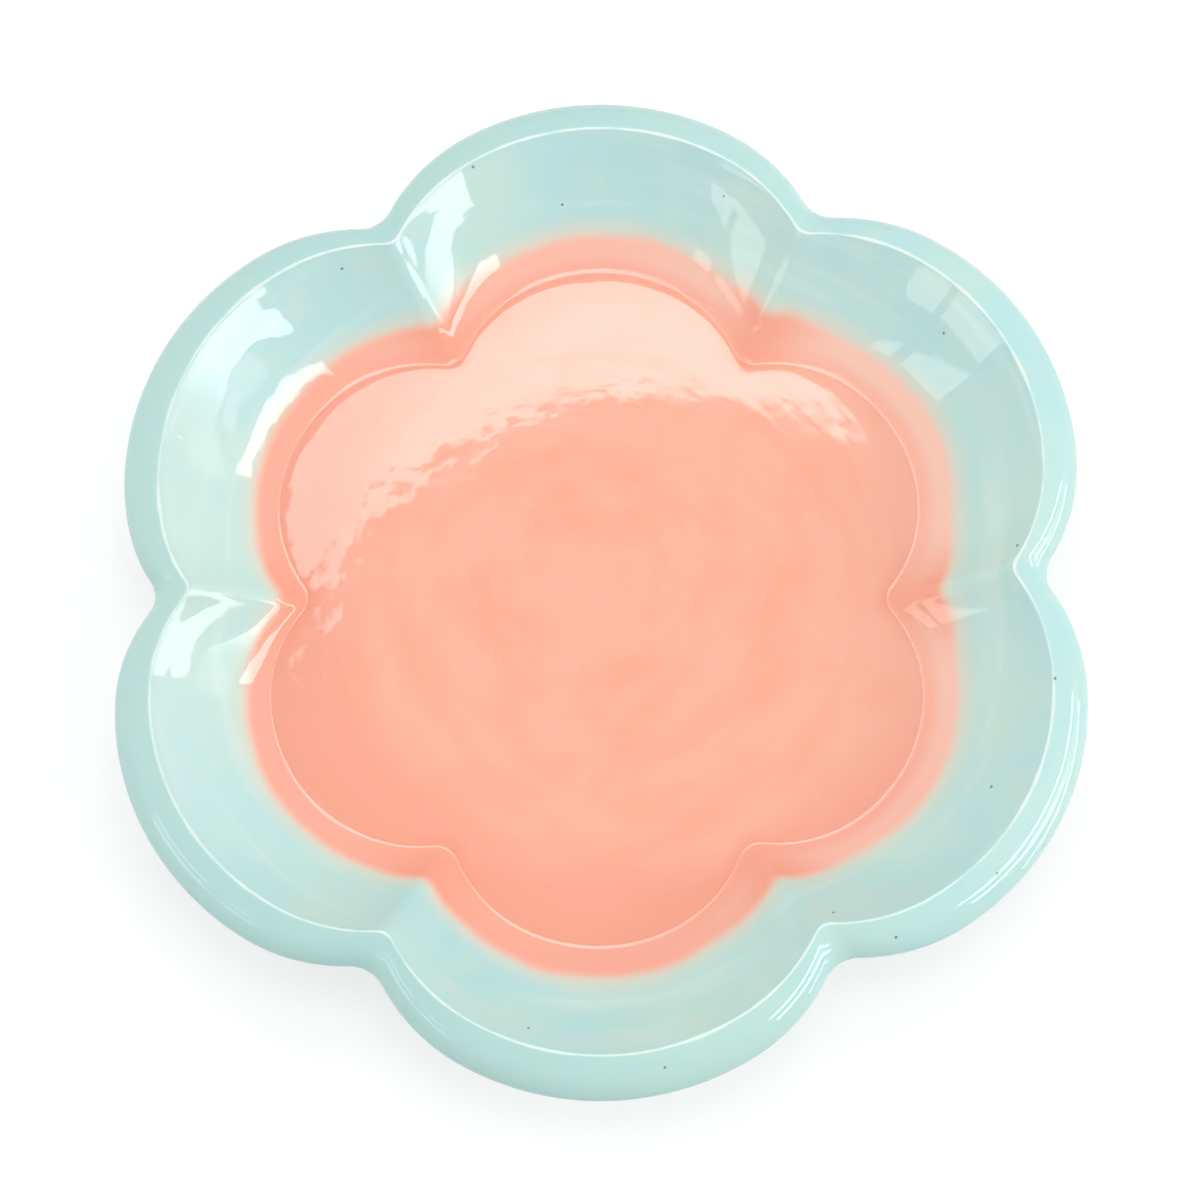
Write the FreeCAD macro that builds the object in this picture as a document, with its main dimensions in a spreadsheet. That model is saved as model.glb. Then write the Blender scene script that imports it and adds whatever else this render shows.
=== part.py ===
import FreeCAD, Part
import math
import os

import Sketcher

# A six-lobed ceramic mixing dish: a clay shell on a round foot ring, under coats of glaze.
# Millimetres, +Z up. The origin is the centre of the circle on which the foot ring stands,
# and one lobe points along -Y, towards the person who mixes.
#
# Each level of the dish is one of two six-lobed outlines, scaled and lifted. Lofts through
# the levels make four forms: the glazed outside, the well inside it, and the same two for the
# clay, one glaze thickness behind. The clay body and the coats of glaze are cut from these.

LOBES = 6
LOBE_STEP = 360.0 / LOBES
FIRST_LOBE = 30.0

DRIVING_SIZES = {
    # Rim outline, at the widest part of the lip: distances from the axis, then arc radii.
    "rim_tip": 80.0,
    "rim_notch": 69.7,
    "rim_lobe_arc": 43.0,
    "rim_shoulder_arc": 30.0,
    "rim_notch_arc": 8.0,
    # Floor outline, where the flat floor meets the wall.
    "floor_tip": 56.0,
    "floor_notch": 46.8,
    "floor_lobe_arc": 25.5,
    "floor_shoulder_arc": 22.7,
    "floor_notch_arc": 5.3,
    # Coats: how thick they are, and the height up to which the coral one covers the inside.
    "glaze": 0.45,
    "coral_height": 10.25,
    # Foot ring. Its height is that of the bare clay under the floor.
    "foot_height": 3.0,
    "foot_outer": 45.0,
    "foot_inner": 39.0,
    "foot_taper": 0.8,
    "foot_round": 0.6,
}

# Profile of the glazed outside, up the line of a lobe's tip: radius and height.
OUTSIDE = [
    ("base_edge", 52.0, 2.55),
    ("base_turn", 59.5, 3.8),
    ("low_wall", 66.0, 6.4),
    ("middle_wall", 71.6, 9.85),
    ("high_wall", 76.2, 13.45),
    ("under_lip", 79.0, 16.2),
    ("lip_edge", 80.0, 18.4),
    ("lip_shoulder", 78.9, 20.3),
    ("lip_slope", 76.9, 21.3),
    ("lip_top", 74.6, 21.8),
]

# Profile of the glazed inside, from the edge of the floor to the crest of the lip.
INSIDE = [
    ("crease", 56.0, 8.0),
    ("wall_start", 60.4, 9.95),
    ("wall_low", 64.8, 13.3),
    ("wall_middle", 68.3, 16.5),
    ("wall_high", 71.3, 19.7),
    ("wall_top", 72.8, 21.25),
    ("crest", 73.4, 21.8),
]

doc = FreeCAD.newDocument("MixingPalette")
sheet = doc.addObject("Spreadsheet::Sheet", "Sizes")


def fill_sheet():
    """Writes each driving size into its own named cell."""
    rows = dict(DRIVING_SIZES)
    for name, radius, height in OUTSIDE + INSIDE:
        rows[f"{name}_radius"] = radius
        rows[f"{name}_height"] = height
    for row, (alias, value) in enumerate(rows.items(), start=1):
        sheet.set(f"A{row}", alias)
        sheet.set(f"B{row}", str(value))
        sheet.setAlias(f"B{row}", alias)
    doc.recompute()


def lobe_arcs(tip, notch, lobe_arc, shoulder_arc, notch_arc):
    """Centres and turning angles of one lobe whose tip points along +X.

    A lobe is a broad tip arc between two tighter shoulder arcs, and a hollow notch arc joins
    it to the next lobe, all tangent.
    """
    tip_centre = FreeCAD.Vector(tip - lobe_arc, 0, 0)
    half_step = math.radians(LOBE_STEP / 2)
    notch_reach = notch + notch_arc
    notch_centre = FreeCAD.Vector(math.cos(half_step), math.sin(half_step), 0) * notch_reach
    across = notch_centre - tip_centre
    inset = lobe_arc - shoulder_arc
    along = (across.Length**2 + inset**2 - (shoulder_arc + notch_arc) ** 2) / (2 * inset)
    turn = math.atan2(across.y, across.x) - math.acos(along / across.Length)
    shoulder_centre = tip_centre + FreeCAD.Vector(math.cos(turn), math.sin(turn), 0) * inset
    meeting = notch_centre - shoulder_centre
    return tip_centre, shoulder_centre, notch_centre, turn, math.atan2(meeting.y, meeting.x)


def arc(centre, radius, start, end, turned):
    """An arc about centre from start to end, in radians, turned about the axis."""
    spin = FreeCAD.Rotation(FreeCAD.Vector(0, 0, 1), math.degrees(turned))
    circle = Part.Circle(spin.multVec(centre), FreeCAD.Vector(0, 0, 1), radius)
    return Part.ArcOfCircle(circle, start + turned, end + turned)


def outline_sketch(name, edge):
    """The closed six-lobed outline whose cells start with edge, fully constrained."""
    sizes = [getattr(sheet, f"{edge}_{part}") for part in
             ("tip", "notch", "lobe_arc", "shoulder_arc", "notch_arc")]
    tip_centre, shoulder_centre, notch_centre, turn, meeting = lobe_arcs(*sizes)
    lower_shoulder = FreeCAD.Vector(shoulder_centre.x, -shoulder_centre.y, 0)
    _, _, lobe_radius, shoulder_radius, notch_radius = sizes
    half_step = math.radians(LOBE_STEP / 2)
    notch_open = math.pi + meeting
    notch_start = 2 * (math.pi + half_step) - notch_open

    sketch = doc.addObject("Sketcher::SketchObject", name)
    cells = f"Sizes.{edge}_"
    lobe_ids = []
    shoulder_ids = []
    notch_ids = []
    for index in range(LOBES):
        angle = FIRST_LOBE + index * LOBE_STEP
        turned = math.radians(angle)
        first = sketch.addGeometry(
            arc(lower_shoulder, shoulder_radius, -meeting, -turn, turned))
        lobe = sketch.addGeometry(arc(tip_centre, lobe_radius, -turn, turn, turned))
        second = sketch.addGeometry(arc(shoulder_centre, shoulder_radius, turn, meeting, turned))
        hollow = sketch.addGeometry(
            arc(notch_centre, notch_radius, notch_start, notch_open, turned))
        lobe_ids.append(lobe)
        shoulder_ids += [first, second]
        notch_ids.append(hollow)
        place_centre(sketch, lobe, angle, f"({cells}tip - {cells}lobe_arc)")
        place_centre(sketch, hollow, angle + LOBE_STEP / 2, f"({cells}notch + {cells}notch_arc)")
    for index in range(LOBES):
        first = shoulder_ids[2 * index]
        second = shoulder_ids[2 * index + 1]
        after = shoulder_ids[(2 * index + 2) % len(shoulder_ids)]
        sketch.addConstraint(Sketcher.Constraint("Tangent", first, 2, lobe_ids[index], 1))
        sketch.addConstraint(Sketcher.Constraint("Tangent", lobe_ids[index], 2, second, 1))
        sketch.addConstraint(Sketcher.Constraint("Tangent", second, 2, notch_ids[index], 2))
        sketch.addConstraint(Sketcher.Constraint("Tangent", notch_ids[index], 1, after, 1))
    bind_radii(sketch, lobe_ids, lobe_radius, cells + "lobe_arc")
    bind_radii(sketch, shoulder_ids, shoulder_radius, cells + "shoulder_arc")
    bind_radii(sketch, notch_ids, notch_radius, cells + "notch_arc")
    return sketch


def place_centre(sketch, geometry, angle, reach):
    """Holds an arc's centre on the ray at angle degrees, at the distance reach."""
    centre = sketch.Geometry[geometry].Center
    for kind, value, function in (("DistanceX", centre.x, "cos"), ("DistanceY", centre.y, "sin")):
        constraint = sketch.addConstraint(Sketcher.Constraint(kind, -1, 1, geometry, 3, value))
        sketch.setExpression(f"Constraints[{constraint}]", f"{reach} * {function}({angle})")


def bind_radii(sketch, geometries, radius, cell):
    """Gives all these arcs the radius in one cell."""
    first, *others = geometries
    constraint = sketch.addConstraint(Sketcher.Constraint("Radius", first, radius))
    sketch.setExpression(f"Constraints[{constraint}]", cell)
    for geometry in others:
        sketch.addConstraint(Sketcher.Constraint("Equal", first, geometry))


def level(name, outline, own_tip, radius, height):
    """The outline scaled to a lobe-tip radius and lifted to a height, both expressions."""
    section = doc.addObject("Part::Scale", name)
    section.Base = outline
    section.Uniform = True
    section.setExpression("UniformScale", f"({radius}) / Sizes.{own_tip}")
    section.setExpression("Placement.Base.z", height)
    return section


def coat_shift(levels, index, side):
    """How far, in glaze thicknesses, the clay lies behind a level of the glazed surface.

    side is 1 where the clay is on the axis side of the profile, and -1 inside the dish.
    """
    _, low_radius, low_height = levels[max(index - 1, 0)]
    _, high_radius, high_height = levels[min(index + 1, len(levels) - 1)]
    length = math.hypot(high_radius - low_radius, high_height - low_height)
    return (-side * (high_height - low_height) / length,
            side * (high_radius - low_radius) / length)


def outline_of(name):
    """The outline that a level follows, and the cell of that outline's own tip radius."""
    if name == "crease":
        return floor_outline, "floor_tip"
    return rim_outline, "rim_tip"


def glazed_levels(levels, prefix):
    """Sections of the glazed surface at each level."""
    return [level(f"{prefix}_{name}", *outline_of(name),
                  f"Sizes.{name}_radius", f"Sizes.{name}_height")
            for name, _, _ in levels]


def clay_levels(levels, prefix, side, straight):
    """Sections of the clay behind each level of the glazed surface.

    straight gives the levels whose clay is one glaze thickness straight up, 1, or down, -1,
    because the form is flat there.
    """
    sections = []
    for index, (name, _, _) in enumerate(levels):
        out, up = coat_shift(levels, index, side)
        up = straight.get(name, up)
        sections.append(level(f"{prefix}_{name}", *outline_of(name),
                              f"Sizes.{name}_radius + {out:.3f} * Sizes.glaze",
                              f"Sizes.{name}_height + {up:.3f} * Sizes.glaze"))
    return sections


def loft(name, sections):
    """A closed solid through these sections."""
    solid = doc.addObject("Part::Loft", name)
    solid.Sections = sections
    solid.Solid = True
    solid.Ruled = False
    solid.MaxDegree = 3
    return solid


def boolean(kind, name, base, tool):
    """Part::Cut or Part::Common of two solids."""
    result = doc.addObject(f"Part::{kind}", name)
    result.Base = base
    result.Tool = tool
    return result


def cylinder(name, radius, height):
    """An upright cylinder from the standing surface, sized by two expressions."""
    solid = doc.addObject("Part::Cylinder", name)
    solid.setExpression("Radius", radius)
    solid.setExpression("Height", height)
    return solid


def make_clay_body(clay_form, clay_well):
    """The fired clay shell, under the glaze."""
    return boolean("Cut", "clay_body", clay_form, clay_well)


def make_inside_coats(glazed_form, well, clay_well):
    """The coral coat, up to a level line on the wall, and the mint coat above it."""
    inside = boolean("Common", "InsideForm", clay_well, glazed_form)
    coat = boolean("Cut", "InsideCoat", inside, well)
    coral_reach = cylinder("CoralReach", "Sizes.rim_tip", "Sizes.coral_height")
    coral = boolean("Common", "coral_glaze", coat, coral_reach)
    mint = boolean("Cut", "mint_glaze_wall", coat, coral_reach)
    return coral, mint


def make_outside_coats(glazed_form, well, clay_form, clay_well):
    """The mint coat over the lip and outside, and the coat inside the foot ring.

    The circle under the foot ring itself stays bare.
    """
    shell = boolean("Cut", "GlazedShell", glazed_form, well)
    outside = boolean("Cut", "OutsideShell", shell, clay_well)
    coat = boolean("Cut", "OutsideCoat", outside, clay_form)
    foot_disc = cylinder("FootDisc", "Sizes.foot_outer", "Sizes.foot_height")
    lip = boolean("Cut", "mint_glaze_lip", coat, foot_disc)
    foot_hollow = cylinder("FootHollow", "Sizes.foot_inner", "Sizes.foot_height")
    base = boolean("Common", "base_glaze", coat, foot_hollow)
    return lip, base


def foot_profile(body):
    """The foot ring's section: a band that tapers towards the surface it stands on."""
    profile = body.newObject("Sketcher::SketchObject", "FootProfile")
    plane = next(item for item in body.Origin.OriginFeatures if item.Role == "XZ_Plane")
    profile.AttachmentSupport = [(plane, "")]
    profile.MapMode = "FlatFace"
    inner, outer = sheet.foot_inner, sheet.foot_outer
    taper, height = sheet.foot_taper, sheet.foot_height
    corners = [
        (inner, height, "Sizes.foot_inner", "Sizes.foot_height"),
        (inner + taper, 0, "Sizes.foot_inner + Sizes.foot_taper", None),
        (outer - taper, 0, "Sizes.foot_outer - Sizes.foot_taper", None),
        (outer, height, "Sizes.foot_outer", "Sizes.foot_height"),
    ]
    ends = [FreeCAD.Vector(across, up, 0) for across, up, _, _ in corners]
    for index, end in enumerate(ends):
        profile.addGeometry(Part.LineSegment(end, ends[(index + 1) % len(ends)]))
    for index, (across, up, across_cell, up_cell) in enumerate(corners):
        before = (index - 1) % len(corners)
        profile.addConstraint(Sketcher.Constraint("Coincident", before, 2, index, 1))
        side = profile.addConstraint(Sketcher.Constraint("DistanceX", -1, 1, index, 1, across))
        profile.setExpression(f"Constraints[{side}]", across_cell)
        if up_cell is None:
            profile.addConstraint(Sketcher.Constraint("PointOnObject", index, 1, -1))
        else:
            rise = profile.addConstraint(Sketcher.Constraint("DistanceY", -1, 1, index, 1, up))
            profile.setExpression(f"Constraints[{rise}]", up_cell)
    return profile


def make_foot_ring():
    """The standing ring, turned about the axis, with its two lower edges rounded."""
    body = doc.addObject("PartDesign::Body", "FootRing")
    body.Label = "foot_ring"
    profile = foot_profile(body)
    turned = body.newObject("PartDesign::Revolution", "FootTurned")
    turned.Profile = profile
    turned.ReferenceAxis = (profile, ["V_Axis"])
    turned.Angle = 360
    doc.recompute()
    lower_edges = [f"Edge{number}" for number, edge in enumerate(turned.Shape.Edges, start=1)
                   if edge.BoundBox.ZMax < sheet.foot_height / 2]
    rounded = body.newObject("PartDesign::Fillet", "FootRounded")
    rounded.Base = (turned, lower_edges)
    rounded.setExpression("Radius", "Sizes.foot_round")
    return body


def export(nodes):
    """Writes each finished node, after every object and shape has been checked."""
    doc.recompute()
    for item in doc.Objects:
        if "Invalid" in item.State or "Error" in item.State:
            raise RuntimeError(f"{item.Label} failed: {item.State}")
    os.makedirs("parts", exist_ok=True)
    for node in nodes:
        if node.Shape.isNull() or not node.Shape.isValid():
            raise RuntimeError(f"{node.Label} has no valid shape")
        node.Shape.exportStep(f"parts/{node.Label}.step")
        print(f"{node.Label}: {len(node.Shape.Solids)} solid, {node.Shape.Volume:.0f} mm3")


fill_sheet()
rim_outline = outline_sketch("RimOutline", "rim")
floor_outline = outline_sketch("FloorOutline", "floor")
doc.recompute()

glazed_form = loft("GlazedForm", glazed_levels(OUTSIDE, "Outside"))
well = loft("Well", glazed_levels(INSIDE, "Inside"))
clay_form = loft("ClayForm", clay_levels(OUTSIDE, "OutsideClay", 1,
                                         {"base_edge": 1, "lip_top": -1}))
clay_well = loft("ClayWell", clay_levels(INSIDE, "InsideClay", -1,
                                         {"crease": -1, "crest": -1}))

clay_body = make_clay_body(clay_form, clay_well)
coral_glaze, mint_glaze_wall = make_inside_coats(glazed_form, well, clay_well)
mint_glaze_lip, base_glaze = make_outside_coats(glazed_form, well, clay_form, clay_well)
foot_ring = make_foot_ring()
export([clay_body, foot_ring, coral_glaze, mint_glaze_wall, mint_glaze_lip, base_glaze])
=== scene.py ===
import math

import bpy
import numpy as np
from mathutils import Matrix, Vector


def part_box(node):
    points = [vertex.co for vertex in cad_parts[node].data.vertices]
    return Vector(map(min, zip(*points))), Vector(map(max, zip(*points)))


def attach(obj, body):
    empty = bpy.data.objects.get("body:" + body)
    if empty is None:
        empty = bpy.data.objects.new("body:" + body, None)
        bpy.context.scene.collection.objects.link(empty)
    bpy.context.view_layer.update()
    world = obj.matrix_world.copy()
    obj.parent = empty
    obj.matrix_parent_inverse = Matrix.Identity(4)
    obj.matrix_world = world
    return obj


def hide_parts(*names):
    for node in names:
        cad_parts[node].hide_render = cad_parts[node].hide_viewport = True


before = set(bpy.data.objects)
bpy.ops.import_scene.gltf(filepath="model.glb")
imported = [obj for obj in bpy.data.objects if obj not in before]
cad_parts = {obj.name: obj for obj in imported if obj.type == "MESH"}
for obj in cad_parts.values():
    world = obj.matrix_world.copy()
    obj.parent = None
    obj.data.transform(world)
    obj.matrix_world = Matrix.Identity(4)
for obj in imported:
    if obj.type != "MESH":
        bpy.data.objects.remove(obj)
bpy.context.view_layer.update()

# A six-lobed ceramic mixing dish under coral and mint glaze. Metres, +Z up, the CAD frame.
MM = 0.001
LOBES = 6
HALF_STEP = math.pi / LOBES
COLUMNS_PER_LOBE = 72
COLUMNS = LOBES * COLUMNS_PER_LOBE
FIRST_LOBE = math.radians(30)

# Sizes taken from the CAD nodes.
GLAZE = 0.45 * MM
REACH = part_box("mint_glaze_lip")[1][1]
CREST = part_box("mint_glaze_lip")[1][2]
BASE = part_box("mint_glaze_lip")[0][2]
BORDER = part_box("coral_glaze")[1][2]
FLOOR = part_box("coral_glaze")[0][2] + GLAZE
FOOT_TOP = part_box("foot_ring")[1][2]
FOOT_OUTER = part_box("foot_ring")[1][0]
FOOT_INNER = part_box("base_glaze")[1][0]
FOOT_TAPER = 0.8 * MM
FOOT_ROUND = 0.6 * MM

# Radii up the line of a lobe's tip, as shares of the rim's reach.
CREASE_REACH = 0.6975 * REACH
CREST_REACH = 0.9235 * REACH

# Inside wall: share of the way out from crease to crest, and share of the way up.
INSIDE_WALL = [(0.0, 0.0), (0.1, 0.082), (0.3, 0.252), (0.5, 0.444), (0.7, 0.651),
               (0.8, 0.762), (0.93, 0.918), (1.0, 1.0)]
# Lip and outside: share of the rim's reach, and share of the way up from base to crest.
OUTSIDE_WALL = [(0.9235, 1.0), (0.945, 0.973), (0.967, 0.935), (0.988, 0.872), (1.0, 0.785),
                (0.989, 0.70), (0.953, 0.56), (0.895, 0.374), (0.825, 0.195), (0.744, 0.06),
                (0.665, 0.0)]

FINE = 0.05 * MM
CREASE_ROUND = 0.8 * MM
CREST_ROUND = 0.2 * MM
FLOOR_POINTS = 200
# How far a rounding bell reaches to each side, in its own radii.
BELL_REACH = 4
# The glaze ends beneath in a round bead, a little way out from the foot ring.
BEAD = 1.2 * MM
BEAD_POINTS = 24
GLAZE_END = FOOT_OUTER + 0.9 * MM
BASE_REACH = 0.67 * REACH


# ---------------------------------------------------------------- outlines and profile

def lobed(angles, notch, lobe_arc, shoulder_arc, notch_arc):
    """Polar radius of a six-lobed outline whose tips reach 1, all sizes as shares of that.

    Each lobe is a broad tip arc between two tighter shoulder arcs; a hollow notch arc joins
    it to the next lobe. Neighbouring arcs are tangent.
    """
    tip_centre = np.array([1 - lobe_arc, 0.0])
    notch_centre = (notch + notch_arc) * np.array([math.cos(HALF_STEP), math.sin(HALF_STEP)])
    across = notch_centre - tip_centre
    inset = lobe_arc - shoulder_arc
    span = np.hypot(*across)
    along = (span**2 + inset**2 - (shoulder_arc + notch_arc) ** 2) / (2 * inset)
    turn = math.atan2(across[1], across[0]) - math.acos(along / span)
    shoulder_centre = tip_centre + inset * np.array([math.cos(turn), math.sin(turn)])
    meeting = notch_centre - shoulder_centre
    join = shoulder_centre + shoulder_arc * meeting / np.hypot(*meeting)
    first_end = tip_centre + lobe_arc * np.array([math.cos(turn), math.sin(turn)])
    to_first = math.atan2(first_end[1], first_end[0])
    to_join = math.atan2(join[1], join[0])

    folded = np.abs((angles - FIRST_LOBE + HALF_STEP) % (2 * HALF_STEP) - HALF_STEP)
    radius = np.empty_like(folded)
    for chosen, centre, size, side in (
            (folded <= to_first, tip_centre, lobe_arc, 1),
            ((folded > to_first) & (folded <= to_join), shoulder_centre, shoulder_arc, 1),
            (folded > to_join, notch_centre, notch_arc, -1)):
        turned = folded[chosen]
        toward = centre[0] * np.cos(turned) + centre[1] * np.sin(turned)
        inside = toward**2 - (centre @ centre - size**2)
        radius[chosen] = toward + side * np.sqrt(np.maximum(inside, 0))
    return radius


def spline(points, step):
    """Points at most step apart on a natural cubic spline through points."""
    knots = np.array(points, float)
    lengths = np.hypot(*np.diff(knots, axis=0).T)
    places = np.concatenate([[0], np.cumsum(lengths)])
    count = len(knots)
    matrix = np.eye(count)
    right = np.zeros((count, 2))
    for index in range(1, count - 1):
        before, after = lengths[index - 1], lengths[index]
        matrix[index, index - 1:index + 2] = before, 2 * (before + after), after
        right[index] = 6 * ((knots[index + 1] - knots[index]) / after
                            - (knots[index] - knots[index - 1]) / before)
    bends = np.linalg.solve(matrix, right)
    along = np.linspace(0, places[-1], int(places[-1] / step) + 2)
    piece = np.clip(np.searchsorted(places, along, side="right") - 1, 0, count - 2)
    size = lengths[piece][:, None]
    ahead = (places[piece + 1] - along)[:, None]
    behind = (along - places[piece])[:, None]
    return (bends[piece] * ahead**3 / (6 * size) + bends[piece + 1] * behind**3 / (6 * size)
            + (knots[piece] / size - bends[piece] * size / 6) * ahead
            + (knots[piece + 1] / size - bends[piece + 1] * size / 6) * behind)


def resample(line):
    """Points FINE apart along a polyline."""
    lengths = np.hypot(*np.diff(line, axis=0).T)
    places = np.concatenate([[0], np.cumsum(lengths)])
    along = np.arange(0, places[-1], FINE)
    return np.column_stack([np.interp(along, places, line[:, k]) for k in (0, 1)])


def soften(line, radius):
    """Rounds the corners of a line whose points are FINE apart, by a bell of this radius."""
    reach = int(BELL_REACH * radius / FINE)
    bell = np.exp(-0.5 * (np.arange(-reach, reach + 1) * FINE / radius) ** 2)
    bell /= bell.sum()
    ahead = 2 * line[0] - line[reach:0:-1]
    behind = 2 * line[-1] - line[-2:-reach - 2:-1]
    padded = np.vstack([ahead, line, behind])
    return np.column_stack([np.convolve(padded[:, k], bell, "valid") for k in (0, 1)])


def glazed_profile():
    """The glazed surface in section, from the middle of the floor to the foot: radius, height."""
    out = np.linspace(0, 1, FLOOR_POINTS)
    floor = np.column_stack([out * CREASE_REACH, np.full_like(out, FLOOR)])
    wall = [(CREASE_REACH + share * (CREST_REACH - CREASE_REACH), FLOOR + up * (CREST - FLOOR))
            for share, up in INSIDE_WALL]
    outside = [(share * REACH, BASE + up * (CREST - BASE)) for share, up in OUTSIDE_WALL]
    inside = soften(resample(np.vstack([floor[:-1], spline(wall, FINE)])), CREASE_ROUND)
    line = np.vstack([inside, spline(outside, FINE), [(GLAZE_END + BEAD, BASE)]])
    line = soften(resample(line), CREST_ROUND)
    turn = np.linspace(0, math.pi / 2, BEAD_POINTS)[1:]
    bead = np.column_stack([GLAZE_END + BEAD * (1 - np.sin(turn)),
                            FOOT_TOP - GLAZE * np.cos(turn)])
    return np.vstack([line, bead])


profile = glazed_profile()

# Places along the profile, as distances from the middle of the floor.
places = np.concatenate([[0], np.cumsum(np.hypot(*np.diff(profile, axis=0).T))])
crest_index = int(np.argmax(profile[:, 1]))
wall_index = int(np.searchsorted(places, CREASE_REACH))
CREASE_PLACE = CREASE_REACH
BORDER_PLACE = float(np.interp(BORDER, profile[wall_index:crest_index, 1],
                               places[wall_index:crest_index]))
CREST_PLACE = float(places[crest_index])
RIM_PLACE = float(places[int(np.argmax(profile[:, 0]))])
BASE_PLACE = float(np.interp(-BASE_REACH, -profile[crest_index:, 0], places[crest_index:]))
END_PLACE = float(places[-1])
BEAD_PLACE = float(np.interp(-(GLAZE_END + BEAD), -profile[crest_index:, 0],
                             places[crest_index:]))

# How the outline changes along the profile: notch depth, lobe, shoulder and notch arcs as
# shares of the tip's reach, and how far it has become a plain circle.
OUTLINES = [
    (0.0, 0.835, 0.457, 0.404, 0.055, 1.0),
    (0.55 * CREASE_PLACE, 0.835, 0.457, 0.404, 0.055, 0.25),
    (CREASE_PLACE, 0.835, 0.457, 0.404, 0.055, 0.0),
    (BORDER_PLACE, 0.850, 0.480, 0.400, 0.040, 0.0),
    (CREST_PLACE, 0.869, 0.531, 0.396, 0.035, 0.0),
    (RIM_PLACE, 0.8725, 0.544, 0.370, 0.070, 0.0),
    (BASE_PLACE, 0.880, 0.544, 0.340, 0.200, 0.15),
    (BEAD_PLACE, 0.880, 0.544, 0.340, 0.200, 1.0),
    (END_PLACE, 0.880, 0.544, 0.340, 0.200, 1.0),
]
ROW_SAMPLES = 800
FEWEST_ROWS = 3


def row_places(start, end, coarse, turning):
    """Places along the profile from start to end, at most coarse apart, closer in a bend.

    turning is how far the profile may bend from one row to the next.
    """
    fine = np.linspace(start, end, ROW_SAMPLES)
    radius = np.interp(fine, places, profile[:, 0])
    height = np.interp(fine, places, profile[:, 1])
    heading = np.unwrap(np.arctan2(np.gradient(height), np.gradient(radius)))
    effort = np.abs(np.diff(fine)) / coarse + np.abs(np.diff(heading)) / turning
    total = np.concatenate([[0], np.cumsum(effort)])
    count = max(int(total[-1]), FEWEST_ROWS)
    return np.interp(np.linspace(0, total[-1], count + 1), total, fine)


# The columns stand closer together in the notches, where the outline bends most.
even_turn = np.arange(COLUMNS) * (2 * math.pi / COLUMNS)
NOTCH_CROWDING = 0.72
around_axis = even_turn + NOTCH_CROWDING / LOBES * np.sin(LOBES * (even_turn - FIRST_LOBE))

OVAL = 1.1 * MM
OVAL_TURN = math.radians(79)
LEAN = 0.3 * MM
TWIST = math.radians(0.7)
NOTCH_SLIP = math.radians(1.8)
NOTCH_SLIP_AT = math.radians(180)
NOTCH_SLIP_SPAN = math.radians(9)
# The floor rises a little at the lobes' tips, only very near the crease, and so does the wall.
FLOOR_RISE = 0.11 * MM
FLOOR_RISE_POWER = 30
# Small waves of the outline: size, waves round, phase, and phase drift up the section.
WOBBLES = [(0.05 * MM, 3, 4.0, 0.0), (0.05 * MM, 5, 1.3, 5.0), (0.03 * MM, 11, 0.4, 9.0)]
# Small waves of the height: size, waves round and phase. They die out above the bead.
LIFTS = [(0.07 * MM, 1, 3.6), (0.06 * MM, 2, 0.2), (0.05 * MM, 3, 5.2), (0.03 * MM, 7, 2.4)]
LIFTS_END = 10 * MM

# How far to each side the surface's slope is taken, and a length that counts as none.
NORMAL_STEP = 0.02 * MM
NOTHING = 1e-16


def hand_made(angles, place):
    """How a hand-finished dish strays from the drawing at one place.

    Returns the turn of each column about the axis, and its shifts outward and upward.
    """
    wall = np.clip((place - CREASE_PLACE) / (CREST_PLACE - CREASE_PLACE), 0, 1)
    under = np.clip((BEAD_PLACE - place) / LIFTS_END, 0, 1)
    share = place / END_PLACE
    slip = NOTCH_SLIP * np.exp(-(((angles - NOTCH_SLIP_AT) / NOTCH_SLIP_SPAN) ** 2))
    twist = (TWIST + slip) * wall
    oval = OVAL * (0.55 + 0.45 * wall) * np.cos(2 * (angles - OVAL_TURN))
    lean = LEAN * (1 - 2 * wall) * np.cos(angles)
    out = oval - lean + sum(size * np.sin(waves * angles + phase + drift * share)
                            for size, waves, phase, drift in WOBBLES)
    up = sum(size * np.sin(waves * angles + phase) for size, waves, phase in LIFTS)
    reach = min(place / CREASE_PLACE, 1)
    tips = 0.5 + 0.5 * np.cos(LOBES * (angles - FIRST_LOBE))
    rise = FLOOR_RISE * reach**FLOOR_RISE_POWER * tips
    return twist, out * reach, up * wall * under + rise * under


def ring(place):
    """One row of the glazed surface: COLUMNS points at a place along the profile."""
    table = np.array(OUTLINES)
    notch, lobe_arc, shoulder_arc, notch_arc, circle = [
        float(np.interp(place, table[:, 0], table[:, k])) for k in range(1, 6)]
    twist, out, up = hand_made(around_axis, place)
    shape = lobed(around_axis - twist, notch, lobe_arc, shoulder_arc, notch_arc)
    shape += (1 - shape) * circle
    tip = np.interp(place, places, profile[:, 0])
    height = np.interp(place, places, profile[:, 1])
    radius = tip * shape + out
    return np.column_stack([radius * np.cos(around_axis), radius * np.sin(around_axis),
                            height + up])


def surface(rows):
    """Points and outward normals of the glazed surface, rows by columns."""
    points = np.array([ring(place) for place in rows])
    ahead = np.array([ring(min(place + NORMAL_STEP, END_PLACE)) for place in rows])
    behind = np.array([ring(max(place - NORMAL_STEP, 0)) for place in rows])
    around = np.roll(points, -1, axis=1) - np.roll(points, 1, axis=1)
    normals = np.cross(ahead - behind, around)
    lengths = np.linalg.norm(normals, axis=2, keepdims=True)
    normals = normals / np.maximum(lengths, NOTHING)
    normals[lengths[..., 0] < NOTHING] = (0, 0, 1)
    return points, normals


# ---------------------------------------------------------------- meshes

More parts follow.
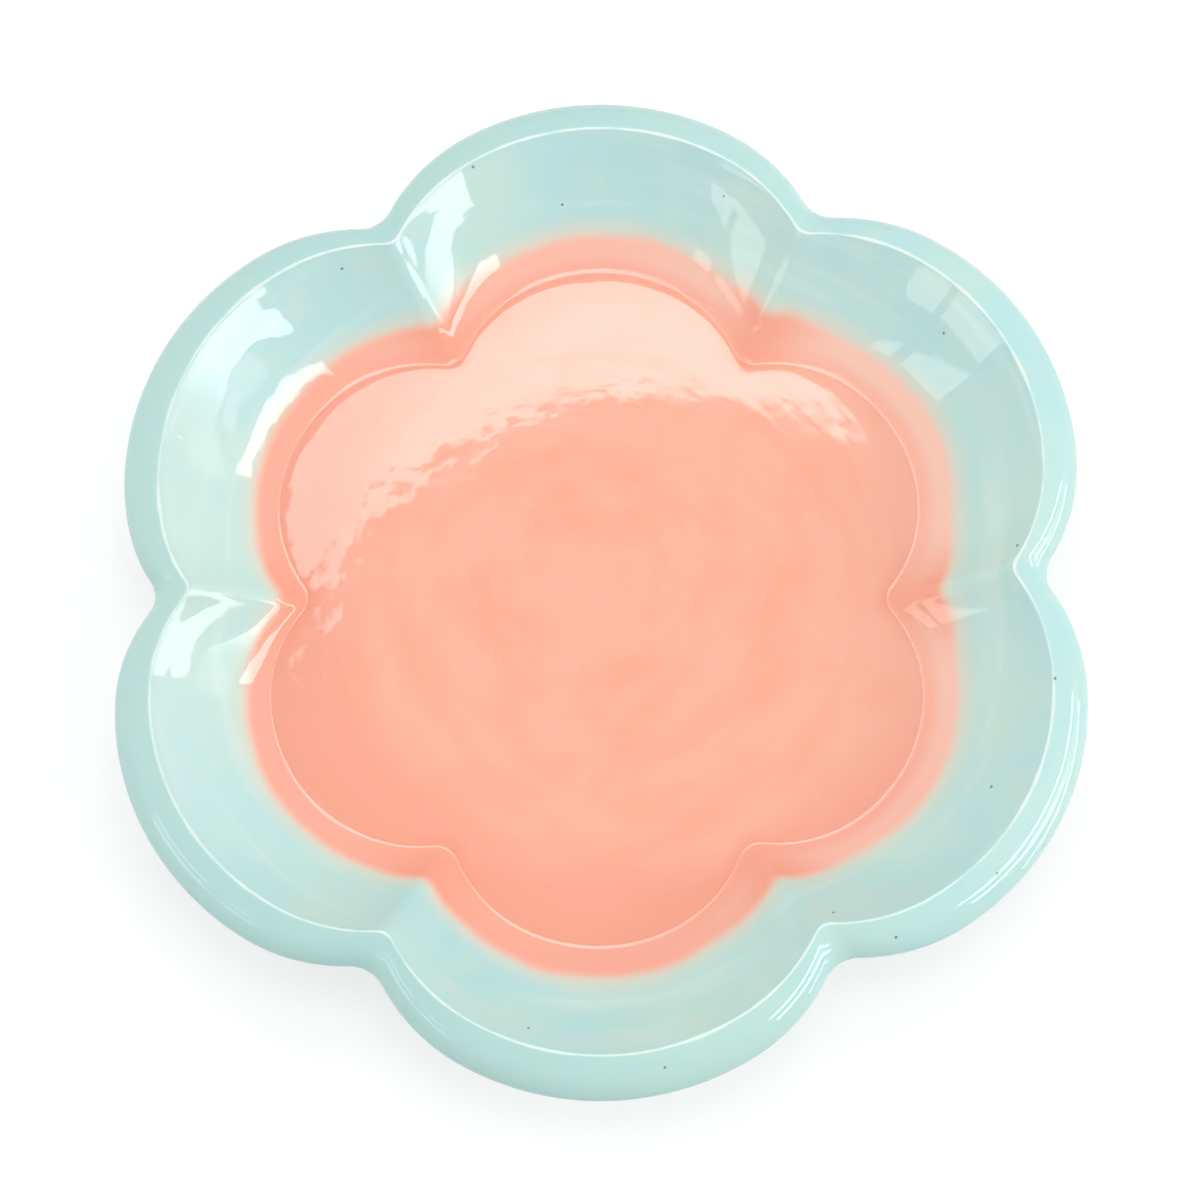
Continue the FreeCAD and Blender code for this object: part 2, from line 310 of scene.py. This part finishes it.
# How far apart the rows may be and how far the section may bend between them: on the glazed
# skin, on the clay shell just beneath it and on the coats' hidden sides.
SKIN_STEP = 1.6 * MM
SKIN_TURN = math.radians(6)
SHELL_STEP = 3 * MM
SHELL_TURN = math.radians(12)
HIDDEN_STEP = 5 * MM
HIDDEN_TURN = math.radians(15)
SHELL_GAP = 0.01 * MM
BENEATH_ROWS = 12
SECTION_STEP = 3 * MM
CORNER_POINTS = 7
BASE_COAT_SHORT = 0.6 * MM
BASE_COAT_ROUND = 0.3 * MM
NOTCH_NARROWNESS = 6


def skin(start, end, coarse, turning, depth=0.0):
    """A band of the surface from start to end, or of the one at a depth below it."""
    rows = row_places(start, end, coarse, turning)
    points, normals = surface(rows)
    return points - normals * depth, normals, rows / MM


def turned_over(band):
    """The same band laid the other way, facing the other way."""
    points, normals, along = band
    return points[::-1], -normals[::-1], along[::-1]


def edge(before, after):
    """A narrow band that joins the last row of one band to the first row of the next."""
    points = np.array([before[0][-1], after[0][0]])
    around = np.roll(points[0], -1, axis=0) - np.roll(points[0], 1, axis=0)
    facing = np.cross(points[1] - points[0], around)
    facing /= np.linalg.norm(facing, axis=1, keepdims=True)
    return points, np.array([facing, facing]), np.array([before[2][-1], after[2][0]])


def turned(section):
    """A band turned about the axis from a section line of radius and height."""
    section = np.array(section)
    heading = np.gradient(section, axis=0)
    heading /= np.hypot(*heading.T)[:, None]
    out = np.column_stack([np.cos(around_axis), np.sin(around_axis), np.zeros(COLUMNS)])
    points = section[:, 0, None, None] * out + section[:, 1, None, None] * np.array([0, 0, 1])
    normals = (-heading[:, 1, None, None] * out
               + heading[:, 0, None, None] * np.array([0, 0, 1]))
    lengths = np.hypot(*np.diff(section, axis=0).T)
    return points, normals, np.concatenate([[0], np.cumsum(lengths)]) / MM


def notch_share(spots):
    """How near each point's direction is to a notch between lobes: 1 there, 0 at the tips."""
    angles = np.arctan2(spots[:, 1], spots[:, 0]) - FIRST_LOBE
    return (0.5 - 0.5 * np.cos(LOBES * angles)) ** NOTCH_NARROWNESS


def build(name, bands, ring_shaped, slot, *nodes):
    """A closed mesh laid from bands of rings, riding on the dish in place of CAD nodes.

    A band is its points, their normals and each row's distance along the section. Its last
    row is where the next band begins. The last band ends where the first begins if the piece
    is ring_shaped, and otherwise both of those ends are a single point on the axis.
    """
    here = np.arange(COLUMNS)
    ahead = (here + 1) % COLUMNS
    vertices = []
    alongs = []
    ids = []
    count = 0
    for points, _, along in bands:
        for row in range(len(points) - 1):
            pole = not ring_shaped and count == 0
            vertices.append(points[row][:1] if pole else points[row])
            size = len(vertices[-1])
            ids.append(np.full(COLUMNS, count) if pole else count + here)
            alongs.append(np.full(size, along[row]))
            count += size
    if ring_shaped:
        ids.append(ids[0])
    else:
        ids.append(np.full(COLUMNS, count))
        vertices.append(bands[-1][0][-1][:1])
        alongs.append(bands[-1][2][-1:])

    faces = []
    corner_normals = []
    place = 0
    for _, normals, _ in bands:
        for row in range(len(normals) - 1):
            low, high = ids[place], ids[place + 1]
            below, above = normals[row], normals[row + 1]
            place += 1
            corners = [low[here], high[here], high[ahead], low[ahead]]
            shading = [below[here], above[here], above[ahead], below[ahead]]
            if low[0] == low[1]:
                corners, shading = corners[:3], shading[:3]
            if high[0] == high[1]:
                corners, shading = corners[:2] + corners[3:], shading[:2] + shading[3:]
            faces += np.stack(corners, axis=1).tolist()
            corner_normals.append(np.stack(shading, axis=1).reshape(-1, 3))

    spots = np.vstack(vertices)
    mesh = bpy.data.meshes.new(name)
    mesh.from_pydata(spots.tolist(), [], faces)
    mesh.polygons.foreach_set("use_smooth", np.ones(len(faces), bool))
    for attribute, numbers in (("along", np.concatenate(alongs)), ("notch", notch_share(spots))):
        values = mesh.attributes.new(attribute, "FLOAT", "POINT")
        values.data.foreach_set("value", numbers.astype(np.float32))
    mesh.normals_split_custom_set(np.vstack(corner_normals).tolist())
    made = bpy.data.objects.new(name, mesh)
    bpy.context.scene.collection.objects.link(made)
    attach(made, "root")
    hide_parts(*nodes)
    return made


def make_coat(name, start, end, slot, node):
    """A coat of glaze over part of the section, its hidden side one glaze thickness below."""
    outer = skin(start, end, SKIN_STEP, SKIN_TURN)
    inner = turned_over(skin(start, min(end, BEAD_PLACE), HIDDEN_STEP, HIDDEN_TURN, GLAZE))
    bands = [outer, edge(outer, inner), inner]
    ring_shaped = start > 0
    if ring_shaped:
        bands.append(edge(inner, outer))
    return build(name, bands, ring_shaped, slot, node)


def make_clay():
    """The fired clay shell that the coats lie on, flat and bare beneath."""
    upper = skin(0, BEAD_PLACE, SHELL_STEP, SHELL_TURN, GLAZE + SHELL_GAP)
    edge_reach = upper[0][-1][0][0]
    beneath = turned([(edge_reach * share, FOOT_TOP)
                      for share in np.linspace(1, 0, BENEATH_ROWS)])
    return build("clay_body_shell", [upper, edge(upper, beneath), beneath], False,
                 "bisque_clay", "clay_body")


def rounded(corners, radius, closed):
    """A section line through corners, each turned into a small curve of this radius."""
    corners = [np.array(corner) for corner in corners]
    line = []
    for index, corner in enumerate(corners):
        if not closed and index in (0, len(corners) - 1):
            line.append(corner)
            continue
        before = corners[index - 1] - corner
        after = corners[(index + 1) % len(corners)] - corner
        start = corner + radius * before / np.hypot(*before)
        end = corner + radius * after / np.hypot(*after)
        for share in np.linspace(0, 1, CORNER_POINTS):
            line.append((1 - share)**2 * start + 2 * share * (1 - share) * corner
                        + share**2 * end)
    if closed:
        line.append(line[0])
    filled = [line[0]]
    for before, after in zip(line, line[1:]):
        parts = max(math.ceil(np.hypot(*(after - before)) / SECTION_STEP), 1)
        filled += [before + (after - before) * (part + 1) / parts for part in range(parts)]
    return filled


def make_foot():
    """The ring of bare clay that the dish stands on, its lower edges rounded by a sponge."""
    corners = [(FOOT_INNER, FOOT_TOP), (FOOT_OUTER, FOOT_TOP), (FOOT_OUTER - FOOT_TAPER, 0),
               (FOOT_INNER + FOOT_TAPER, 0)]
    return build("foot_ring_turned", [turned(rounded(corners, FOOT_ROUND, True))], True,
                 "bisque_clay", "foot_ring")


def make_base_coat():
    """The coat of glaze on the underside, pooled a little short of the foot ring."""
    reach = FOOT_INNER - BASE_COAT_SHORT
    corners = [(0, FOOT_TOP), (reach, FOOT_TOP), (reach, FOOT_TOP - GLAZE),
               (0, FOOT_TOP - GLAZE)]
    points, normals, along = turned(rounded(corners, BASE_COAT_ROUND, False))
    return build("base_glaze_coat", [(points, normals, along + END_PLACE / MM)], False,
                 "mint_glaze", "base_glaze")


# ---------------------------------------------------------------- materials

def srgb(red, green, blue):
    """A colour given in display values from 0 to 255, as Blender's linear colour."""
    shares = np.array([red, green, blue]) / 255
    linear = np.where(shares <= 0.04045, shares / 12.92, ((shares + 0.055) / 1.055) ** 2.4)
    return (*map(float, linear), 1.0)


LEAST_RADIUS = 1e-4


class Wiring:
    """The nodes of a material or a world: most calls add some and return what they give."""

    def __init__(self, owner, ending="OutputMaterial"):
        self.owner = owner
        self.ending = ending
        self.owner.use_nodes = True
        self.tree = self.owner.node_tree
        self.tree.nodes.clear()

    def node(self, kind, inputs, **settings):
        made = self.tree.nodes.new("ShaderNode" + kind)
        for key, value in settings.items():
            setattr(made, key, value)
        for key, value in inputs.items():
            if isinstance(value, bpy.types.NodeSocket):
                self.tree.links.new(value, made.inputs[key])
            else:
                made.inputs[key].default_value = value
        return made

    def attribute(self, name):
        return self.node("Attribute", {}, attribute_name=name).outputs["Fac"]

    def math(self, operation, *values):
        return self.node("Math", dict(enumerate(values)), operation=operation).outputs[0]

    def step(self, value, low, high, to_low=0.0, to_high=1.0):
        """Goes smoothly from to_low to to_high as value goes from low to high."""
        inputs = {"Value": value, "From Min": low, "From Max": high, "To Min": to_low,
                  "To Max": to_high}
        return self.node("MapRange", inputs, interpolation_type="SMOOTHSTEP").outputs[0]

    def mix(self, share, first, second):
        """The first colour, turning into the second as share goes from 0 to 1."""
        inputs = {"Factor": share, 6: first, 7: second}
        return self.node("Mix", inputs, data_type="RGBA").outputs[2]

    def noise(self, vector, size, detail=2.0, roughness=0.5):
        """Noise with features about size metres across."""
        inputs = {"Vector": vector, "Scale": 1 / size, "Detail": detail,
                  "Roughness": roughness}
        return self.node("TexNoise", inputs).outputs["Fac"]

    def place(self):
        return self.node("TexCoord", {}).outputs["Object"]

    def axes(self, place):
        """The X, Y and Z of a place."""
        parts = self.node("SeparateXYZ", {"Vector": place})
        return tuple(parts.outputs[axis] for axis in "XYZ")

    def bounced(self):
        """0 for light rays that come straight, mirrored or through glass, 1 for scattered."""
        path = self.node("LightPath", {})
        return self.math("SUBTRACT", 1.0, self.math(
            "MAXIMUM", path.outputs["Is Camera Ray"],
            self.math("MAXIMUM", path.outputs["Is Glossy Ray"],
                      path.outputs["Is Transmission Ray"])))

    def length(self, x, y):
        square = self.math("ADD", self.math("MULTIPLY", x, x), self.math("MULTIPLY", y, y))
        return self.math("SQRT", square)

    def polar(self, place, around, outward):
        """A place bent so that noise on it streaks round the axis, and its radius.

        around and outward say how finely it changes that way, per turn and per metre.
        """
        x, y, z = self.axes(place)
        radius = self.math("MAXIMUM", self.length(x, y), LEAST_RADIUS)
        inputs = {"X": self.math("MULTIPLY", self.math("DIVIDE", x, radius), around),
                  "Y": self.math("MULTIPLY", self.math("DIVIDE", y, radius), around),
                  "Z": self.math("MULTIPLY", self.math("ADD", radius, z), outward)}
        return self.node("CombineXYZ", inputs).outputs[0], radius

    def finish(self, shader):
        self.node(self.ending, {"Surface": shader.outputs[0]})
        return self.owner


CORAL = srgb(249, 171, 150)
CORAL_INNER = srgb(251, 183, 161)
CORAL_DEEP = srgb(246, 155, 128)
# The colour of the painted highlight along the crease.
CORAL_CREASE_HIGHLIGHT = srgb(248, 204, 186)
CORAL_WARM = srgb(249, 169, 141)
MINT = srgb(190, 224, 216)
MINT_BLUE = srgb(180, 221, 220)
MINT_GREEN = srgb(199, 225, 209)
MINT_PALE = srgb(226, 240, 233)
MINT_LIP = srgb(176, 216, 210)
CREAM = srgb(236, 214, 190)
SPECK = srgb(96, 96, 86)
GLAZE_IOR = 1.55

# Sizes of the glaze's noises, and of the wheel's rings as changes per turn and per metre.
CLOUD_SIZE = 26 * MM
PATCH_SIZE = 9 * MM
RIPPLE_SIZE = 5.5 * MM
RINGS_AROUND = 1.4
RINGS_OUTWARD = 160
RIPPLE_DEPTH = 0.05 * MM
RINGS_DEPTH = 0.012 * MM

# The pool's shift to the upper right, how ragged its edge is and where that edge lies.
POOL_RIGHTWARD = 0.18
POOL_UPWARD = 0.10
POOL_RAGGED = 10 * MM
POOL_EDGE = (46 * MM, 58 * MM)
# Where the painted highlight beyond the crease fades out.
CREASE_HIGHLIGHT_EDGE = (44 * MM, 64 * MM)
RINGS_START = (2 * MM, 14 * MM)

# Places along the section, in millimetres like the attribute "along".
CREASE_ALONG = CREASE_PLACE / MM
CREST_ALONG = CREST_PLACE / MM
# The band beyond the crease that carries the painted highlight.
CREASE_HIGHLIGHT_BAND = (CREASE_ALONG, CREASE_ALONG + 3.0)
PINCH = (50.0, 58.0)
LIP_START = (CREST_ALONG - 2, CREST_ALONG + 1)

# The border between the colours: half its blend, its rise above the cut in the coats, its
# wander, its fall at the left, and its creep up the notches, which grows per metre rightward.
MELT = 1.2
BORDER_RISE = 2.4
BORDER_ALONG = BORDER_PLACE / MM + BORDER_RISE
BORDER_WANDER = 1.6
BORDER_FALL = 1.6
CREEP = 1.9
CREEP_ACROSS = 27.0
HALO_START = (BORDER_ALONG - 1.6 * MELT, BORDER_ALONG + 0.2 * MELT)
HALO_END = (BORDER_ALONG + 0.2 * MELT, BORDER_ALONG + 3.4 * MELT)

PIT_SPACING = 5 * MM
PIT_SIZE = (0.035, 0.06)
PIT_RARITY = 0.75
PIT_DEPTH = 0.08 * MM


def make_glaze(name):
    """Glossy glaze, sprayed coral in the well and mint beyond, with a soft border."""
    w = Wiring(bpy.data.materials.new(name))
    place = w.place()
    along = w.attribute("along")
    notch = w.attribute("notch")
    x, y, _ = w.axes(place)
    streaks, radius = w.polar(place, RINGS_AROUND, RINGS_OUTWARD)
    rings = w.noise(streaks, 1.0, 3.0, 0.6)
    clouds = w.noise(place, CLOUD_SIZE, 2.0)
    patches = w.noise(place, PATCH_SIZE, 3.0, 0.55)
    left = w.step(x, -0.5 * REACH, 0.2 * REACH, 1.0, 0.35)
    ripple = w.math("MULTIPLY", w.noise(place, RIPPLE_SIZE, 1.7), left)

    # The well: a paler pool towards the upper right, coral beyond it, brushed round and round.
    aside = w.math("MULTIPLY_ADD", x, -POOL_RIGHTWARD, radius)
    aside = w.math("MULTIPLY_ADD", y, -POOL_UPWARD, aside)
    outside_pool = w.step(w.math("MULTIPLY_ADD", clouds, POOL_RAGGED, aside), *POOL_EDGE)
    well = w.mix(outside_pool, CORAL_INNER, CORAL)
    brushed = w.math("MULTIPLY", w.step(rings, 0.42, 0.68, 0.0, 0.5),
                     w.step(radius, *RINGS_START))
    well = w.mix(brushed, well, CORAL_WARM)
    well = w.mix(w.step(patches, 0.48, 0.72, 0.0, 0.35), well, CORAL_WARM)

    # Beyond the crease a painted highlight makes it paler towards the upper right, and it is
    # deeper in the notches.
    paler = w.math("MULTIPLY", w.step(along, *CREASE_HIGHLIGHT_BAND), w.step(aside, *CREASE_HIGHLIGHT_EDGE, 0.8, 0.0))
    well = w.mix(paler, well, CORAL_CREASE_HIGHLIGHT)
    pinch = w.math("MULTIPLY", notch, w.step(along, *PINCH))
    well = w.mix(w.math("MULTIPLY", pinch, 0.8), well, CORAL_DEEP)

    # The wall and lip: mint that drifts between blue and green.
    mint = w.mix(w.step(clouds, 0.38, 0.64), MINT_BLUE, MINT)
    mint = w.mix(w.step(patches, 0.5, 0.72, 0.0, 0.45), mint, MINT_GREEN)
    mint = w.mix(w.step(rings, 0.5, 0.75, 0.0, 0.25), mint, MINT_PALE)
    # Paler towards the left: painted light, for the left side of the dish that faces the windows.
    left_painted_light = w.step(x, -0.95 * REACH, -0.5 * REACH, 0.3, 0.0)
    mint = w.mix(left_painted_light, mint, MINT_PALE)
    # A deeper mint on the lip, less of it towards the right, where the lip is painted paler as if
    # lit from that side.
    lip = w.math("MULTIPLY", w.step(along, *LIP_START, 0.0, 0.7),
                 w.step(x, -0.2 * REACH, 0.9 * REACH, 1.0, 0.2))
    mint = w.mix(lip, mint, MINT_LIP)

    # The border creeps up the notches and wanders a little.
    creep = w.math("MULTIPLY_ADD", x, -CREEP_ACROSS, -CREEP)
    wander = w.math("MULTIPLY_ADD", patches, BORDER_WANDER, w.math("MULTIPLY", notch, creep))
    leftward = w.step(x, -0.7 * REACH, -0.35 * REACH, BORDER_FALL, 0.0)
    level = w.math("ADD", w.math("ADD", along, leftward), wander)
    is_mint = w.step(level, BORDER_ALONG - MELT, BORDER_ALONG + MELT)
    halo = w.math("MULTIPLY", w.step(level, *HALO_START), w.step(level, *HALO_END, 1.0, 0.0))
    colour = w.mix(is_mint, well, mint)
    colour = w.mix(w.math("MULTIPLY", halo, 0.45), colour, CREAM)

    # Paler on the crest: partly the pale clay showing through thin glaze, partly a painted
    # highlight along the crest line.
    from_crest = w.math("ABSOLUTE", w.math("SUBTRACT", along, CREST_ALONG))
    thin_glaze_and_crest_highlight = w.step(w.math("MULTIPLY_ADD", patches, -0.9, from_crest), -0.45, -0.1, 0.9, 0.0)
    colour = w.mix(thin_glaze_and_crest_highlight, colour, MINT_PALE)

    # Pinholes, a few to the hand's width.
    cells = w.node("TexVoronoi", {"Vector": place, "Scale": 1 / PIT_SPACING})
    shade = w.node("SeparateColor", {"Color": cells.outputs["Color"]}).outputs[0]
    chosen = w.math("GREATER_THAN", shade, PIT_RARITY)
    hole = w.math("MULTIPLY", w.step(cells.outputs["Distance"], *PIT_SIZE, 1.0, 0.0), chosen)
    hole = w.math("MULTIPLY", hole, w.step(along, BORDER_ALONG, BORDER_ALONG + 3.0))
    colour = w.mix(w.math("MULTIPLY", hole, 0.75), colour, SPECK)

    swell = w.node("Bump", {"Height": ripple, "Distance": RIPPLE_DEPTH})
    turns = w.node("Bump", {"Height": rings, "Distance": RINGS_DEPTH,
                            "Normal": swell.outputs[0]})
    pits = w.node("Bump", {"Height": hole, "Distance": PIT_DEPTH, "Normal": turns.outputs[0]},
                  invert=True)
    shader = w.node("BsdfPrincipled", {
        "Base Color": colour, "Roughness": w.step(patches, 0.3, 0.8, 0.02, 0.05),
        "IOR": GLAZE_IOR, "Normal": pits.outputs[0]})
    return w.finish(shader)


CLAY = srgb(226, 212, 192)
CLAY_DARK = srgb(204, 186, 162)
CLAY_GRIT = srgb(150, 128, 104)
WHEEL_LINES_OUTWARD = 1800
GRIT_SIZE = 0.35 * MM
GRIT_DEPTH = 0.06 * MM
CLAY_CLOUD_SIZE = 14 * MM
WHEEL_DEPTH = 0.08 * MM


def make_bisque():
    """Fired clay left bare: pale, dry and faintly gritty, with the wheel's fine lines."""
    w = Wiring(bpy.data.materials.new("bisque_clay"))
    place = w.place()
    lines, _ = w.polar(place, 1.0, WHEEL_LINES_OUTWARD)
    wheel = w.noise(lines, 1.0, 2.0)
    grain = w.noise(place, GRIT_SIZE, 4.0, 0.65)
    clouds = w.noise(place, CLAY_CLOUD_SIZE, 3.0)
    colour = w.mix(w.step(clouds, 0.35, 0.7), CLAY, CLAY_DARK)
    colour = w.mix(w.step(grain, 0.62, 0.72, 0.0, 0.6), colour, CLAY_GRIT)
    rough = w.node("Bump", {"Height": grain, "Distance": GRIT_DEPTH})
    lined = w.node("Bump", {"Height": wheel, "Distance": WHEEL_DEPTH,
                            "Normal": rough.outputs[0]})
    shader = w.node("BsdfPrincipled", {
        "Base Color": colour, "Roughness": w.step(grain, 0.3, 0.8, 0.72, 0.92),
        "Normal": lined.outputs[0]})
    return w.finish(shader)


def cover(made, material):
    made.data.materials.append(material)


coral = make_glaze("coral_glaze_finish")
mint = make_glaze("mint_glaze_finish")
bisque = make_bisque()
cover(make_coat("coral_glaze_coat", 0, BORDER_PLACE, "coral_glaze", "coral_glaze"), coral)
cover(make_coat("mint_glaze_wall_coat", BORDER_PLACE, CREST_PLACE, "mint_glaze",
                "mint_glaze_wall"), mint)
cover(make_coat("mint_glaze_lip_coat", CREST_PLACE, END_PLACE, "mint_glaze",
                "mint_glaze_lip"), mint)
cover(make_base_coat(), mint)
cover(make_clay(), bisque)
cover(make_foot(), bisque)


# ---------------------------------------------------------------- stage and light

def flat(name, corners, material):
    """A flat stage piece with these corners."""
    mesh = bpy.data.meshes.new(name)
    mesh.from_pydata(corners, [], [range(len(corners))])
    mesh.materials.append(material)
    made = bpy.data.objects.new(name, mesh)
    bpy.context.scene.collection.objects.link(made)
    return made


WHITE = (1, 1, 1, 1)
TABLE_REACH = 4.0
TABLE_LIT = (0.40, 0.40, 0.40, 1)
TABLE_GLOW = 0.64
TABLE_BOUNCE = (0.80, 0.80, 0.80, 1)
TABLE_FADE = (0.25, 0.9)


def make_table():
    """A white table top, half lit and half glowing by the dish so that the shadow is faint.

    It turns to even white far out. Scattered light meets plain white board instead.
    """
    w = Wiring(bpy.data.materials.new("table_top"))
    lit = w.node("BsdfDiffuse", {"Color": TABLE_LIT})
    white = w.node("Emission", {"Color": WHITE, "Strength": TABLE_GLOW})
    near = w.node("AddShader", {0: lit.outputs[0], 1: white.outputs[0]})
    far = w.node("Emission", {"Color": WHITE, "Strength": 1.0})
    away = w.node("VectorMath", {"Vector": w.place()}, operation="LENGTH").outputs["Value"]
    seen = w.node("MixShader", {0: w.step(away, *TABLE_FADE), 1: near.outputs[0],
                                2: far.outputs[0]})
    plain = w.node("BsdfDiffuse", {"Color": TABLE_BOUNCE})
    either = w.node("MixShader", {0: w.bounced(), 1: seen.outputs[0], 2: plain.outputs[0]})
    reach = TABLE_REACH
    flat("table", [(-reach, -reach, 0), (reach, -reach, 0), (reach, reach, 0),
                   (-reach, reach, 0)], w.finish(either))


def glow(name, corners, strength, mask=None):
    """A glowing panel that the camera doesn't see. mask gives its share of light by place."""
    w = Wiring(bpy.data.materials.new(name))
    level = strength if mask is None else w.math("MULTIPLY", mask(w), strength)
    light = w.node("Emission", {"Color": WHITE, "Strength": level})
    panel = flat(name, corners, w.finish(light))
    panel.visible_camera = False
    return panel


# The softbox overhead, and the round hole in it that the camera looks through.
CEILING = 1.0
SOFTBOX_X = (-0.25, 0.25)
SOFTBOX_Y = (-0.15, 0.73)
SOFTBOX_STRENGTH = 5.3
SOFTBOX_FADE = (-0.20, 0.02, 0.55, 1.0)
DISC_CENTRE = (0.030, 0.270)
DISC_RADIUS = 0.1625
DISC_SOFTNESS = 0.004
DISC_WIDENING = 0.95


def softbox_share(w):
    """The softbox's light by place: none in the hole, and less at the left."""
    x, y, _ = w.axes(w.place())
    across = w.math("MULTIPLY", w.math("SUBTRACT", x, DISC_CENTRE[0]), DISC_WIDENING)
    along = w.math("SUBTRACT", y, DISC_CENTRE[1])
    open_share = w.step(w.length(across, along), DISC_RADIUS - DISC_SOFTNESS,
                        DISC_RADIUS + DISC_SOFTNESS)
    return w.math("MULTIPLY", open_share, w.step(x, *SOFTBOX_FADE))


WINDOW_FADE = (-0.22, 0.07, 1.0, 0.3)


def fading(w):
    """A window's light by place: less towards its far end."""
    return w.step(w.axes(w.place())[1], *WINDOW_FADE)


# Upright panels at each side: strength, X, outline of Y and Z, and light by place.
WINDOW = 0.9
PANES = {
    "window_low": (6.5, WINDOW, [
        (-0.73, 0.59), (-0.64, 0.51), (-0.37, 0.37), (-0.21, 0.30), (-0.03, 0.23),
        (0.30, 0.25), (0.30, 0.37), (0.07, 0.38), (-0.37, 0.51), (-0.63, 0.67),
        (-0.73, 0.74)], fading),
    "window_low_far": (5.0, WINDOW, [
        (-0.45, 0.0), (-0.22, 0.04), (0.20, 0.13), (0.20, 0.22), (-0.22, 0.15),
        (-0.45, 0.09)], None),
    "window_middle": (2.5, WINDOW, [
        (-0.36, 0.53), (-0.20, 0.46), (-0.06, 0.43), (0.05, 0.41), (0.05, 0.44),
        (-0.06, 0.47), (-0.34, 0.60)], None),
    "window_high": (7.0, WINDOW, [
        (-0.76, 1.02), (-0.56, 0.81), (-0.33, 0.67), (0.0, 0.53), (0.25, 0.41),
        (0.25, 0.50), (0.0, 0.61), (-0.21, 0.73), (-0.49, 0.90), (-0.73, 1.12)], None),
    "left_low": (3.0, -WINDOW, [
        (-1.0, 0.80), (-0.70, 0.62), (-0.49, 0.50), (-0.20, 0.33), (-0.16, 0.50),
        (-0.54, 0.67), (-0.54, 0.58), (-0.61, 0.61), (-0.61, 0.72), (-0.90, 0.88)], None),
    "left_high_near": (3.0, -WINDOW, [
        (-0.86, 1.08), (-0.62, 0.88), (-0.62, 1.0), (-0.86, 1.2)], None),
    "left_high_far": (3.0, -WINDOW, [
        (-0.50, 0.80), (-0.14, 0.55), (-0.14, 0.68), (-0.50, 0.93)], None),
}

# Large weak panels that light the sides and leave no reflection: strength and X.
FILLS = {"left_fill": (1.9, -1.2), "right_fill": (1.1, 1.2)}
FILL_OUTLINE = [(-0.8, 0.5), (1.0, 0.5), (1.0, 1.4), (-0.8, 1.4)]
ROOM_LIGHT = 0.43


def upright(side, outline):
    """Corners of an upright panel at X = side from its outline of Y and Z."""
    return [(side, along, up) for along, up in outline]


def make_room():
    """White where it is seen or mirrored, and dimmer as a light."""
    w = Wiring(bpy.data.worlds.new("world"), "OutputWorld")
    level = w.step(w.bounced(), 0.0, 1.0, 1.0, ROOM_LIGHT)
    return w.finish(w.node("Background", {"Color": WHITE, "Strength": level}))


make_table()
(left, right), (near, far) = SOFTBOX_X, SOFTBOX_Y
glow("softbox", [(left, near, CEILING), (left, far, CEILING), (right, far, CEILING),
                 (right, near, CEILING)], SOFTBOX_STRENGTH, softbox_share)
for name, (strength, side, outline, mask) in PANES.items():
    glow(name, upright(side, outline), strength, mask)
for name, (strength, side) in FILLS.items():
    glow(name, upright(side, FILL_OUTLINE), strength).visible_glossy = False
bpy.context.scene.world = make_room()

# ---------------------------------------------------------------- camera

CAMERA_HEIGHT = math.radians(71.5)
CAMERA_DISTANCE = 556.4 * MM
LENS = 106.4
SENSOR = 36
NEAREST_SEEN = 0.01

target = Vector((0, 0, FLOOR))
lens = bpy.data.cameras.new("camera")
lens.lens = LENS
lens.sensor_width = SENSOR
lens.clip_start = NEAREST_SEEN
camera = bpy.data.objects.new("camera", lens)
toward = Vector((0, -math.cos(CAMERA_HEIGHT), math.sin(CAMERA_HEIGHT)))
camera.location = target + toward * CAMERA_DISTANCE
camera.rotation_euler = toward.to_track_quat("Z", "Y").to_euler()
bpy.context.scene.collection.objects.link(camera)
bpy.context.scene.camera = camera
bpy.context.scene.view_settings.view_transform = "Standard"
